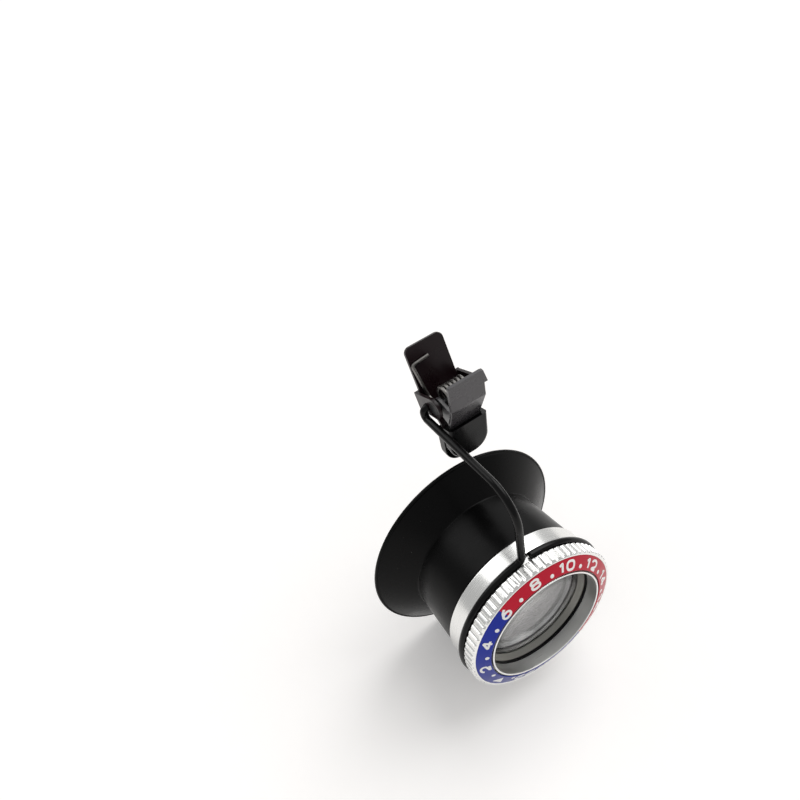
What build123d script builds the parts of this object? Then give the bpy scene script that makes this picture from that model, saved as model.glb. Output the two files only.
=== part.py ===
from build123d import *

import math
import os

# Clip on loupe: a spring clip, a wire arm that flips up, and a loupe that turns in the arm's open
# ring and carries a turning bezel. All lengths are millimetres and all angles are degrees.
# The origin is the middle of the closed jaws. X runs along the clip's hinge, +Y points back to the
# eye, and +Z points up when the clip is worn.

# Clip, stamped from sheet
sheet = 0.6
bend_radius = 0.9
clip_width = 9.3
tab_step = 0.85
rear_tab_corner = 1.15
rear_tab_length = 11.2
rear_tab_lean = 22.8
rear_knee_y = 4.9
rear_knee_z = 5.1
rear_jaw_knee_z = 2.1
ear_play = 0.58
front_tab_corner = 0.5
front_tab_y = 2.95
front_tab_length = 5.5
front_bend_z = 9.5
front_knee_z = 4.4
jaw_step = 0.37
jaw_corner_share = 0.7
lug_reach = 0.7
lug_high = 0.12
lug_low = 2.85
ear_low_share = 0.25
ear_high_share = 0.95
rear_ear_top_share = 0.29

# Rubber boots on the jaws
jaw_gap = 0.1
boot_pad = 0.7
boot_wall = 0.78
boot_floor = 0.75
boot_corner_share = 0.85
boot_edge = 0.3
boot_round = 0.8
boot_mouth = 0.85
boot_rim_fall = 0.8
front_boot_low = 3.6
front_boot_rim_z = 4.65
rear_boot_low = 5.7
rear_boot_rim_z = 1.9

# Clip hinge: rivet through both levers' ears, and the spring wound round it
pin_y = 0.6
pin_z = 8.4
rivet_radius = 0.8
rivet_head_depth = 0.4
hinge_clearance = 0.06
ear_margin = 0.75
front_ear_margin = 0.65
spring_wire = 0.6
spring_bore_gap = 1.2
spring_lift = 0.7
spring_ear_gap = 0.1
spring_turns = 6.25
spring_edge = 0.25
spring_rear_leg = 6.62
spring_bar = 3.4
spring_bar_rise = 0.4
spring_front_leg = 4.6
spring_knee = 1.2
spring_seat_gap = 0.06

# Arm, one piece of wire
wire = 1.4
wire_fit = 0.05
strand_gap = 0.1
strand_offset = 0.8
hook_gap = 0.1
hook_drop = 0.9
hook_bend = 0.8
hook_rise = 0.1
hook_end_gap = 0.23
rise_bend = 1.0
top_bend = 6.3
ring_bend = 1.5
ring_opening = 1.0

# Loupe head, sized from the bezel inwards and placed under the clip
rim_standoff = 1.95
rim_drop = 0.33
bezel_radius = 14.96
head_step = 0.56
band_width = 3.24
groove_depth = 0.65
flange = 0.2
flange_lip = 0.1
face_width = 3.81
lip_wall = 0.35
lip_height = 1.05
lip_round = 0.14
neck_wall = 1.25
running_gap = 0.05
spigot_step = 1.8
spigot_length = 3.0
seal_depth = 0.35
seal_width = 0.65
seal_setback = 0.8

# Bezel and its insert
bezel_depth = 2.42
bezel_chamfer = 0.4
bezel_rim = 0.22
rim_land = 0.44
insert_slope = 21.5
insert_thickness = 0.45
insert_gap = 0.25
neck_step_share = 0.41
snap_share = 0.6
flute_count = 72
flute_radius = 0.54
flute_depth = 0.24
snap_wire = 0.44
snap_room = 0.03
snap_opening = 24.0
gasket_thickness = 0.3
gasket_width = 0.75
gasket_inset = 0.15

# Lenses and the rings that hold them
clip_setback = 2.5
clip_wire = 0.44
clip_sink = 0.06
clip_opening = 30.0
ring_gap_side = 135.0
lens_fit = 0.04
lens_shelf = 1.1
seat_width = 0.91
seat_depth = 1.4
seat_land = 0.2
front_lens_curve = 38.0
front_lens_edge = 1.5
lens_space = 2.2
rear_lens_curve = 60.0
rear_lens_edge = 1.3

# Eyecup
barrel_step = 0.32
barrel_taper = 0.73
barrel_length = 11.1
flare_length = 4.94
flare_spread = 6.22
rim_lip = 0.75
rim_step = 0.42
rim_round = 0.3
socket_fit = 0.05
socket_room = 0.2
eyecup_wall = 1.1

# Widths of the clip's parts, from the outermost inwards
rear_tab_width = clip_width - 2 * tab_step
front_tab_width = clip_width - 2 * (sheet + ear_play)
jaw_width = front_tab_width - 2 * jaw_step
jaw_corner = jaw_width / 2 * jaw_corner_share
boot_half_width = jaw_width / 2 + boot_wall
boot_corner = boot_half_width * boot_corner_share
rear_ear_x = clip_width / 2 - sheet
front_ear_x = front_tab_width / 2 - sheet
jaw_sheet_y = jaw_gap / 2 + boot_pad + sheet / 2
overrun = rear_knee_y + rear_tab_length

# Rivet, ears and spring
rivet_head_radius = rivet_radius + rivet_head_depth
rear_ear_radius = rivet_head_radius + ear_margin
front_ear_radius = rivet_radius + front_ear_margin
spring_radius = rivet_radius + spring_bore_gap + spring_wire / 2
spring_left_x = front_ear_x - spring_ear_gap - spring_wire / 2
spring_pitch = 2 * spring_left_x / spring_turns
spring_leg_x = rear_tab_width / 2 - spring_edge

# Stations along the loupe, from the bezel's front edge back to the rim
flange_front = bezel_depth + running_gap
groove_front = flange_front + flange
groove_back = groove_front + wire + 2 * wire_fit
band_back = groove_back + band_width
crease = band_back + barrel_length
loupe_length = crease + flare_length
wire_station = (groove_front + groove_back) / 2
neck_step = bezel_depth * neck_step_share
snap_front = bezel_depth * snap_share
snap_back = snap_front + snap_wire + 2 * snap_room

# Radii of the loupe, from the bezel inwards
head_radius = bezel_radius - head_step
groove_radius = head_radius - groove_depth
ring_radius = groove_radius + wire_fit + wire / 2
flange_radius = head_radius - flange_lip
bore_radius = bezel_radius - face_width
lip_radius = bore_radius + lip_wall
neck_radius = bore_radius + neck_wall
insert_inner = lip_radius + insert_gap
insert_outer = bezel_radius - bezel_rim - rim_land
insert_rise = (insert_outer - insert_inner) * math.tan(math.radians(insert_slope))
clip_radius = bore_radius + clip_sink
lens_radius = bore_radius - lens_fit
lens_aperture = lens_radius - seat_width
spigot_radius = head_radius - spigot_step
spigot_bore = bore_radius - lens_shelf
barrel_front_radius = head_radius - barrel_step
crease_radius = barrel_front_radius - barrel_taper
barrel_bore = crease_radius - eyecup_wall
rim_radius = crease_radius + flare_spread
bezel_bore = neck_radius + running_gap
bezel_snap_floor = bezel_bore + snap_wire / 2 + snap_room
gasket_inner = bezel_snap_floor + gasket_inset

# Places that several pieces share
pin = (pin_y, pin_z)
hook = (pin_y + rivet_head_radius + hook_gap + wire / 2, pin_z - hook_drop)
strand_x = -(clip_width / 2 + strand_gap + wire / 2)
loupe_aside = -strand_x - strand_offset
loupe_drop = rim_radius + front_boot_low + rim_drop
loupe_front_y = -(rim_standoff + loupe_length)
loupe_place = Pos(-loupe_aside, loupe_front_y, -loupe_drop)


def save(node, shape):
    """Write one sub-part and say how large it came out."""
    export_step(shape, "parts/" + node + ".step")
    box = shape.bounding_box().size
    print(f"{node:20s} {shape.volume:9.2f} mm3  {box.X:6.2f} {box.Y:6.2f} {box.Z:6.2f}")


def side_view(sketch, x=0.0):
    """Put a sketch drawn as (Y, Z) on the plane at this X."""
    return Plane.YZ.offset(x) * sketch


def front_view(sketch):
    """Put a sketch drawn as (X, Z) on the plane through the origin."""
    return Plane.XZ * sketch


def filled(points):
    """Closed face through a list of points."""
    return make_face(Polyline(*points, close=True))


def between(start, end, share):
    """Point at this share of the way from start to end."""
    return tuple(a + (b - a) * share for a, b in zip(start, end))


def turned(face):
    """Revolve a profile drawn as (radius, station) and put it on the loupe's axis."""
    return loupe_place * revolve(face, Axis.Y)


def ring_wire(radius, station, thickness, opening):
    """Open ring of round wire on the loupe's axis, its gap turned to the side of the strand."""
    section = Pos(radius, station) * Circle(thickness / 2)
    ring = revolve(section, Axis.Y, revolution_arc=360 - opening)
    return loupe_place * Rot(0, opening / 2 - ring_gap_side, 0) * ring


def rounded(face, points, radius):
    """Round the corners of a face that lie at these points."""
    corners = [min(face.vertices(), key=lambda v: math.dist((v.X, v.Y), p)) for p in points]
    return fillet(corners, radius=radius)


def sagitta(curve, radius):
    """Height of a spherical lens face over its chord of this radius."""
    return curve - math.sqrt(curve ** 2 - radius ** 2)


# Clip

def sheet_strip(points):
    """Bent strip of sheet as wide as the clip, along side view points on its middle."""
    line = FilletPolyline(*points, radius=bend_radius)
    strip = trace(line, line_width=sheet)
    return extrude(side_view(strip), amount=clip_width / 2, both=True)


def lever_plate(points, half, tab_corner):
    """Bent strip cut to half of its front view and the mirror of that, with rounded tab corners."""
    other = [(-x, z) for x, z in reversed(half)]
    face = rounded(filled(half + other), [half[-1], other[0]], jaw_corner)
    plate = sheet_strip(points) & extrude(front_view(face), amount=overrun, both=True)
    corners = plate.edges().filter_by(lambda edge: edge.length < 2 * sheet).sort_by(Axis.Z)[-2:]
    return fillet(corners, radius=tab_corner)


def ear_pair(outline, inner_x):
    """Two ears with this side view outline, their inner faces at plus and minus inner_x."""
    right = extrude(side_view(outline, inner_x), amount=sheet)
    left = extrude(side_view(outline, -inner_x - sheet), amount=sheet)
    return right + left


def cross_bore(place, radius, start_x, end_x):
    """Cylinder along X at a side view place, from start_x to end_x."""
    return extrude(side_view(Pos(*place) * Circle(radius), start_x), amount=end_x - start_x)


def hinge_rivet():
    """Shank with a countersunk head flush with each rear ear."""
    half = clip_width / 2
    profile = filled([
        (-half, 0), (-half, rivet_head_radius), (-half + rivet_head_depth, rivet_radius),
        (half - rivet_head_depth, rivet_radius), (half, rivet_head_radius), (half, 0),
    ])
    return Pos(0, *pin) * revolve(profile, Axis.X)


def rear_lever_points():
    """Side view of the rear lever: tab top, knee, jaw knee, jaw tip."""
    lean = math.radians(rear_tab_lean)
    top = (rear_knee_y + rear_tab_length * math.sin(lean), rear_knee_z + rear_tab_length * math.cos(lean))
    tip = (jaw_sheet_y, boot_floor - rear_boot_low)
    return [top, (rear_knee_y, rear_knee_z), (jaw_sheet_y, rear_jaw_knee_z), tip]


def front_lever_points():
    """Side view of the front lever: tab top, bend, jaw knee, jaw tip."""
    top = (-front_tab_y, front_bend_z + front_tab_length)
    tip = (-jaw_sheet_y, boot_floor - front_boot_low)
    return [top, (-front_tab_y, front_bend_z), (-jaw_sheet_y, front_knee_z), tip]


def rear_lever():
    """Tab, two ears and rear jaw, with the rivet's seats and the arm's pivot hole."""
    points = rear_lever_points()
    top, knee, _, tip = points
    ear_top = between(knee, top, rear_ear_top_share)
    half = [
        (rear_tab_width / 2, top[1] + sheet), (rear_tab_width / 2, ear_top[1]),
        (clip_width / 2, ear_top[1]), (clip_width / 2, knee[1]),
        (jaw_width / 2, knee[1]), (jaw_width / 2, tip[1]),
    ]
    ear = make_hull([
        *(Pos(*pin) * Circle(rear_ear_radius)).edges(),
        *(Pos(*hook) * Circle(wire / 2 + ear_margin)).edges(),
        Line(knee, ear_top),
    ])
    lever = lever_plate(points, half, rear_tab_corner) + ear_pair(ear, rear_ear_x)
    pivot = cross_bore(hook, wire / 2 + wire_fit, -overrun, 0)
    return lever - hinge_rivet() - pivot


def front_lever():
    """Tab, two ears that turn inside the rear ears, and front jaw."""
    points = front_lever_points()
    top, bend, knee, tip = points
    edge = front_tab_width / 2
    half = [
        (edge, top[1]), (edge, bend[1]), (jaw_width / 2, front_boot_rim_z), (jaw_width / 2, tip[1]),
    ]
    ear = make_hull([
        *(Pos(*pin) * Circle(front_ear_radius)).edges(),
        Line(between(knee, bend, ear_low_share), between(knee, bend, ear_high_share)),
    ])
    lug = filled([
        (edge - sheet, top[1] - lug_high), (edge, top[1] - lug_high),
        (edge + lug_reach, top[1] - lug_low), (edge - sheet, top[1] - lug_low),
    ])
    strip = extrude(Plane.XZ.offset(front_tab_y - sheet / 2) * lug, amount=sheet)
    lever = lever_plate(points, half, front_tab_corner) + strip + ear_pair(ear, front_ear_x)
    bore = cross_bore(pin, rivet_radius + hinge_clearance, -overrun, overrun)
    return lever - bore


def jaw_boot(side, low, rim_z, lever):
    """Rubber boot pushed over a jaw. side is 1 at the rear and -1 at the front."""
    face_y = side * jaw_gap / 2
    back_y = side * (jaw_sheet_y + sheet / 2)
    flare = side * (boot_mouth - boot_wall / 2)
    outer_y = back_y + side * boot_wall
    section = filled([
        (face_y, -low), (outer_y, -low), (outer_y + flare, rim_z), (face_y, rim_z - boot_rim_fall),
    ])
    block = extrude(side_view(section), amount=boot_half_width, both=True)
    corners = [(-boot_half_width, -low), (boot_half_width, -low)]
    plan = filled([*corners, (boot_half_width, rim_z), (-boot_half_width, rim_z)])
    plan = rounded(plan, corners, boot_corner)
    block = block & extrude(front_view(plan), amount=overrun, both=True)
    block = soft_sides(block, side, boot_round, rim_z)
    block = soft_sides(block, -side, boot_edge, rim_z)
    wedge = filled([(back_y, boot_floor - low), (back_y + flare, rim_z), (back_y, rim_z)])
    mouth = extrude(side_view(wedge), amount=jaw_width / 2, both=True)
    return block - mouth - lever


def soft_sides(block, side, radius, rim_z):
    """Round the edges of the face that looks along Y to this side, all but the one at the rim."""
    face = block.faces().sort_by(Axis.Y)[-1 if side > 0 else 0]
    edges = face.edges().filter_by(lambda edge: edge.center().Z < rim_z - sheet)
    return fillet(edges, radius=radius)


def clip_spring():
    """Torsion spring: coil round the rivet, rear leg with a crossbar, straight front leg."""
    coil = Helix(spring_pitch, spring_pitch * spring_turns, spring_radius, lefthand=True)
    coil = Pos(-spring_left_x, pin_y, pin_z + spring_lift) * Rot(0, 90, 0) * coil
    start = coil @ 0
    start_way = coil % 0
    lean = math.radians(rear_tab_lean)
    seat = sheet / 2 + spring_seat_gap + spring_wire / 2
    foot_y = rear_knee_y + (start.Z - rear_knee_z) * math.tan(lean) - seat / math.cos(lean)
    foot = start + start_way * ((foot_y - start.Y) / start_way.Y)
    rise = spring_rear_leg * math.cos(lean)
    tip = (-spring_leg_x, foot_y + spring_rear_leg * math.sin(lean), foot.Z + rise)
    bar_end = (spring_bar - spring_leg_x, tip[1], tip[2] + spring_bar_rise)
    rear_leg = FilletPolyline(bar_end, tip, foot, start, radius=[spring_wire, 2 * spring_wire])
    end = coil @ 1
    knee = end + (coil % 1) * spring_knee
    front_end = (end.X, seat - front_tab_y, pin_z + spring_front_leg)
    front_leg = FilletPolyline(end, knee, front_end, radius=spring_wire)
    path = Wire([*rear_leg.edges(), *coil.edges(), *front_leg.edges()])
    section = Plane(origin=path @ 0, z_dir=path % 0) * Circle(spring_wire / 2)
    return sweep(section, path=path)


# Arm

def wire_arm():
    """Hook in the rear ear, strand forward and down, and the open ring in the head's groove."""
    ring_y = loupe_front_y + wire_station
    hook_end = (-front_tab_width / 2 - hook_end_gap, *hook)
    hook_corner = (strand_x, *hook)
    top_z = hook[1] - hook_bend - hook_rise - rise_bend
    rise_corner = (strand_x, hook[0], top_z)
    top_corner = (strand_x, ring_y, top_z)
    bend_x = strand_x + loupe_aside - ring_bend
    bend_z = math.sqrt((ring_radius + ring_bend) ** 2 - bend_x ** 2)
    strand_low = (strand_x, ring_y, bend_z - loupe_drop)
    strand = FilletPolyline(
        hook_end, hook_corner, rise_corner, top_corner, strand_low,
        radius=[hook_bend, rise_bend, top_bend],
    )
    ring_plane = Plane(origin=(-loupe_aside, ring_y, -loupe_drop), x_dir=(1, 0, 0), z_dir=(0, -1, 0))
    meet = math.degrees(math.atan2(bend_z, bend_x))
    free_x = strand_x + loupe_aside + wire / 2 + ring_opening
    free_end = 90 - math.degrees(math.asin(free_x / ring_radius))
    curl = ring_plane * CenterArc((bend_x, bend_z), ring_bend, 0, meet - 180)
    ring = ring_plane * CenterArc((0, 0), ring_radius, meet, 360 + free_end - meet)
    path = Wire([*strand.edges(), *curl.edges(), *ring.edges()])
    section = Plane(origin=hook_end, z_dir=(-1, 0, 0)) * Circle(wire / 2)
    return sweep(section, path=path)


# Loupe

def head_housing():
    """Front lip, neck for the bezel, wire groove, band, and a spigot for the eyecup."""
    lip_front = -lip_height
    clip_front = lip_front + clip_setback
    clip_back = clip_front + clip_wire + 2 * snap_room
    clip_floor = clip_radius + clip_wire / 2 + snap_room
    snap_floor = neck_radius - snap_wire / 2 - snap_room
    seal_front = band_back + seal_setback
    seal_floor = spigot_radius - seal_depth
    spigot_back = band_back + spigot_length
    shelf = clip_back + seat_depth + front_lens_edge + lens_space + rear_lens_edge
    shelf_rise = sagitta(rear_lens_curve, lens_radius) - sagitta(rear_lens_curve, spigot_bore)
    face = filled([
        (bore_radius, lip_front), (lip_radius, lip_front), (lip_radius, neck_step),
        (neck_radius, neck_step), (neck_radius, snap_front), (snap_floor, snap_front),
        (snap_floor, snap_back), (neck_radius, snap_back), (neck_radius, flange_front),
        (flange_radius, flange_front), (flange_radius, groove_front), (groove_radius, groove_front),
        (groove_radius, groove_back), (head_radius, groove_back), (head_radius, band_back),
        (spigot_radius, band_back), (spigot_radius, seal_front), (seal_floor, seal_front),
        (seal_floor, seal_front + seal_width), (spigot_radius, seal_front + seal_width),
        (spigot_radius, spigot_back), (spigot_bore, spigot_back), (spigot_bore, shelf + shelf_rise),
        (bore_radius, shelf), (bore_radius, clip_back), (clip_floor, clip_back),
        (clip_floor, clip_front), (bore_radius, clip_front),
    ])
    lip = [(bore_radius, lip_front), (lip_radius, lip_front)]
    face = rounded(face, lip, lip_round)
    band = [(head_radius, groove_back), (head_radius, band_back)]
    face = rounded(face, band, flange)
    return turned(face)


def lens_stations():
    """Stations of the lens stack: seat ring, front lens edge, spacer, rear lens edge."""
    seat = clip_setback - lip_height + clip_wire + 2 * snap_room
    front = seat + seat_depth
    spacer = front + front_lens_edge
    rear = spacer + lens_space
    return seat, front, spacer, rear


def front_wire_clip():
    """Black wire ring sprung into the bore in front of the lenses."""
    station = clip_setback - lip_height + clip_wire / 2 + snap_room
    return ring_wire(clip_radius, station, clip_wire, clip_opening)


def lens_seat_ring():
    """Dark ring with a conical front that the front lens bears against."""
    seat, front, _, _ = lens_stations()
    fall = sagitta(front_lens_curve, lens_radius) - sagitta(front_lens_curve, lens_aperture)
    land = front - fall - lens_fit
    return turned(filled([
        (lens_radius - seat_land, seat), (lens_radius, seat), (lens_radius, front - lens_fit),
        (lens_aperture, land), (lens_aperture, land - seat_land),
    ]))


def lens_profile(front_curve, front, back, rear_curve):
    """Half section of a lens. A curve of zero is a flat face."""
    front_sag = sagitta(front_curve, lens_radius) if front_curve else 0
    rear_sag = sagitta(rear_curve, lens_radius)
    middle = lens_radius / 2
    front_middle = sagitta(front_curve, middle) if front_curve else 0
    edges = [
        Line((lens_radius, front), (lens_radius, back)),
        ThreePointArc((lens_radius, back), (middle, back + rear_sag - sagitta(rear_curve, middle)),
                      (0, back + rear_sag)),
        Line((0, back + rear_sag), (0, front - front_sag)),
    ]
    if front_curve:
        edges.append(ThreePointArc((0, front - front_sag), (middle, front - front_sag + front_middle),
                                   (lens_radius, front)))
    else:
        edges.append(Line((0, front), (lens_radius, front)))
    return make_face(edges)


def front_lens():
    """Biconvex magnifying lens."""
    _, front, spacer, _ = lens_stations()
    return turned(lens_profile(front_lens_curve, front, spacer, front_lens_curve))


def rear_lens():
    """Second lens, flat in front, seated on the housing's shelf."""
    _, _, _, rear = lens_stations()
    return turned(lens_profile(0, rear, rear + rear_lens_edge, rear_lens_curve))


def lens_spacer():
    """Ring between the lenses, its front face sloped to clear the front lens."""
    _, _, spacer, rear = lens_stations()
    rise = sagitta(front_lens_curve, lens_radius) - sagitta(front_lens_curve, lens_aperture)
    return turned(filled([
        (lens_radius, spacer + lens_fit), (lens_aperture, spacer + rise + lens_fit),
        (lens_aperture, rear), (lens_radius, rear),
    ]))


def spigot_seal():
    """Flat O-ring in the spigot's groove, pressed by the eyecup's socket."""
    front = band_back + seal_setback
    floor = spigot_radius - seal_depth
    outer = spigot_radius + socket_fit
    return turned(filled([
        (floor, front), (outer, front), (outer, front + seal_width), (floor, front + seal_width),
    ]))


def eyecup():
    """Moulded barrel with a socket for the spigot and a conical flare that ends in a lip."""
    socket = spigot_radius + socket_fit
    socket_back = band_back + spigot_length + socket_room
    flare_end = (rim_radius - rim_step, loupe_length - rim_lip)
    run = flare_end[0] - crease_radius
    rise = flare_end[1] - crease
    slope = math.atan2(rise, run)
    inner_start = crease + eyecup_wall / math.cos(slope) - (crease_radius - barrel_bore) * math.tan(slope)
    inner_end = barrel_bore + (loupe_length - inner_start) / math.tan(slope)
    face = filled([
        (socket, band_back), (barrel_front_radius, band_back), (crease_radius, crease), flare_end,
        (rim_radius, loupe_length - rim_lip), (rim_radius, loupe_length), (inner_end, loupe_length),
        (barrel_bore, inner_start), (barrel_bore, socket_back), (socket, socket_back),
    ])
    rim = [(rim_radius, loupe_length - rim_lip), (rim_radius, loupe_length)]
    face = rounded(face, rim, rim_round)
    face = rounded(face, [(barrel_front_radius, band_back)], rim_round)
    face = rounded(face, [(crease_radius, crease)], rim_round)
    return turned(face)


# Bezel

def bezel_ring():
    """Coin edge ring: fluted outside, conical seat in front, bore for the neck."""
    bore = bezel_bore
    snap_floor = bezel_snap_floor
    gasket_outer = gasket_inner + gasket_width
    gasket_front = bezel_depth - gasket_thickness
    face = filled([
        (insert_outer, 0), (bezel_radius - bezel_rim, 0), (bezel_radius, bezel_chamfer),
        (bezel_radius, bezel_depth), (gasket_outer, bezel_depth), (gasket_outer, gasket_front),
        (gasket_inner, gasket_front), (gasket_inner, bezel_depth), (bore, bezel_depth),
        (bore, snap_back), (snap_floor, snap_back), (snap_floor, snap_front), (bore, snap_front),
        (bore, neck_step - running_gap), (insert_inner, neck_step - running_gap),
        (insert_inner, insert_thickness - insert_rise), (insert_outer, insert_thickness),
    ])
    pitch_radius = bezel_radius + flute_radius - flute_depth
    disc = Circle(bezel_radius + flute_radius)
    disc -= PolarLocations(pitch_radius, flute_count) * Circle(flute_radius)
    standing = extrude(disc, amount=bezel_depth + insert_rise)
    fluted = loupe_place * Pos(0, bezel_depth, 0) * Rot(90, 0, 0) * standing
    return turned(face) & fluted


def bezel_insert():
    """Thin conical ring that carries the 24 hour scale."""
    return turned(filled([
        (insert_outer, 0), (insert_outer, insert_thickness),
        (insert_inner, insert_thickness - insert_rise), (insert_inner, -insert_rise),
    ]))


def bezel_snap_ring():
    """Split wire ring that sits half in the neck and half in the bezel."""
    station = (snap_front + snap_back) / 2
    return ring_wire(neck_radius + running_gap / 2, station, snap_wire, snap_opening)


def bezel_gasket():
    """Thin slip ring in the bezel's rear face, next to the housing's flange."""
    outer = gasket_inner + gasket_width
    front = bezel_depth - gasket_thickness
    return turned(filled([
        (gasket_inner, front), (outer, front), (outer, bezel_depth), (gasket_inner, bezel_depth),
    ]))


def main():
    os.makedirs("parts", exist_ok=True)
    rear = rear_lever()
    front = front_lever()
    save("clip_rear_lever", rear)
    save("clip_front_lever", front)
    save("rear_jaw_boot", jaw_boot(1, rear_boot_low, rear_boot_rim_z, rear))
    save("front_jaw_boot", jaw_boot(-1, front_boot_low, front_boot_rim_z, front))
    save("clip_hinge_rivet", hinge_rivet())
    save("clip_spring", clip_spring())
    save("wire_arm", wire_arm())
    save("head_housing", head_housing())
    save("front_wire_clip", front_wire_clip())
    save("lens_seat_ring", lens_seat_ring())
    save("front_lens", front_lens())
    save("lens_spacer", lens_spacer())
    save("rear_lens", rear_lens())
    save("spigot_seal", spigot_seal())
    save("eyecup", eyecup())
    save("bezel_ring", bezel_ring())
    save("bezel_insert", bezel_insert())
    save("bezel_snap_ring", bezel_snap_ring())
    save("bezel_gasket", bezel_gasket())


main()
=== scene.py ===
# %% Load the frame
import math

import bmesh
import bpy
import numpy as np
from mathutils import Matrix, Vector


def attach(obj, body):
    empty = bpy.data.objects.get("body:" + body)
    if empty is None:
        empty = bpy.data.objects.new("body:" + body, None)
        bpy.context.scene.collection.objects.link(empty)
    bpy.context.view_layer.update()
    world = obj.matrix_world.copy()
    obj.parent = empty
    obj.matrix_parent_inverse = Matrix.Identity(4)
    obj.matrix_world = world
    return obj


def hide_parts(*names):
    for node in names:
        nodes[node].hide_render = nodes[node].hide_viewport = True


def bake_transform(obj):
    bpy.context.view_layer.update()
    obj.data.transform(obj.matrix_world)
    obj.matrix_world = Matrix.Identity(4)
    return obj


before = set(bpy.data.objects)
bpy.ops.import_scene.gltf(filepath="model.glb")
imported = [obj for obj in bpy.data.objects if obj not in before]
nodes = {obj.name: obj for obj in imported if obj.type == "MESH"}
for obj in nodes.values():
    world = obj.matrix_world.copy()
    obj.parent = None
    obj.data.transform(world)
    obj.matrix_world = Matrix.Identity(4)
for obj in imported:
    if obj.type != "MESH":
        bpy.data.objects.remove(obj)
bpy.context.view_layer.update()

# %% [markdown]
# # A clip on loupe in two metals, a black moulding and two lenses
# The object is a watchmaker's loupe. A fluted bezel with a red and blue 24 hour
# ring turns on a bright aluminium head, a black eyecup is pushed on behind it,
# and a bent wire hangs the whole loupe from a small black spring clip.
# The frame gives where every part sits. Here each part is made again as a smooth
# surface and gets its real finish.
# All sizes below are in millimetres, as a maker would read them from a drawing,
# and one function turns them to metres when a mesh is made.

# %% Units and the loupe's own axes
MM = 0.001
axis_x, front_y, axis_z = -4.65, -25.4, -23.5


def on_loupe(radius, station, angle):
    """Point at a radius from the loupe's axis, a station behind the bezel's front, and an angle.

    x = axis x + radius cos(angle), y = front + station, z = axis z + radius sin(angle).
    """
    radius, station, angle = np.broadcast_arrays(radius, station, angle)
    return np.stack([
        axis_x + radius * np.cos(angle), front_y + station, axis_z + radius * np.sin(angle),
    ], axis=-1)


print("bezel centre:", on_loupe(0.0, 0.0, 0.0))

# %% [markdown]
# ## From a grid of points to a mesh
# Nearly every part is a sheet of points: one parameter runs round or along the
# part and the other across it. A grid of points can be joined to four sided
# faces with index arithmetic alone, so the same function serves the fluted ring,
# the lenses and the wires. It could also be done with Blender's Screw and Curve
# tools, but a formula keeps every size exact and the result the same each time.

# %% Grid to mesh
def grid_faces(rows, columns, rows_close, columns_close):
    """Corner numbers of the four sided faces of a grid, row by row.

    Face (i, j) joins point (i, j) to its next neighbours, counted round where a side closes.
    """
    i, j = np.meshgrid(
        np.arange(rows if rows_close else rows - 1),
        np.arange(columns if columns_close else columns - 1), indexing="ij",
    )
    i, j = i.ravel(), j.ravel()
    row, next_row = i * columns, (i + 1) % rows * columns
    next_j = (j + 1) % columns
    corners = [row + j, row + next_j, next_row + next_j, next_row + j]
    return np.stack(corners, axis=-1).tolist()


def outwards(points, faces):
    """The same faces, turned over where they enclose a negative volume.

    The volume's sign is that of the sum of corner . (corner x corner) over a fan of each face.
    """
    points = points - points.mean(axis=0)
    total = 0.0
    for size in {len(face) for face in faces}:
        ring = points[np.array([face for face in faces if len(face) == size])]
        for k in range(1, size - 1):
            total += np.einsum("ij,ij->i", ring[:, 0], np.cross(ring[:, k], ring[:, k + 1])).sum()
    return faces if total > 0 else [face[::-1] for face in faces]


def in_scene(name, data):
    """New object with this data, linked to the scene."""
    thing = bpy.data.objects.new(name, data)
    bpy.context.scene.collection.objects.link(thing)
    return thing


def make_piece(name, points, faces, crease_angle=32):
    """Mesh object from points in millimetres, faces outwards, smooth except at sharp corners."""
    points = np.asarray(points, float).reshape(-1, 3)
    mesh = bpy.data.meshes.new(name)
    mesh.from_pydata((points * MM).tolist(), [], outwards(points, faces))
    work = bmesh.new()
    work.from_mesh(mesh)
    bmesh.ops.remove_doubles(work, verts=work.verts, dist=1e-7)
    bmesh.ops.dissolve_degenerate(work, edges=work.edges, dist=1e-8)
    work.to_mesh(mesh)
    work.free()
    mesh.shade_smooth()
    mesh.set_sharp_from_angle(angle=math.radians(crease_angle))
    return in_scene(name, mesh)


def finish_piece(piece, material, body, slot_name, *replaced):
    """Give a piece its material, the body it rides on and the nodes it stands for. The slot name is
    not used.
    """
    piece.data.materials.clear()
    piece.data.materials.append(material)
    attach(piece, body)
    if replaced:
        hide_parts(*replaced)
    print(f"{piece.name:24s} {len(piece.data.polygons):6d} faces on {body}")


print("grid helpers ready")

# %% [markdown]
# ## Rounding a line of points
# Turned parts have small broken edges and bent wire has round bends. Both are the
# same sum: at each corner an arc that touches the two runs. The touching points
# lie radius / tan(half the corner) away, and the arc's centre lies on the line
# that halves the corner. The function works for a profile in two dimensions and
# for a wire's path in three.

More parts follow.
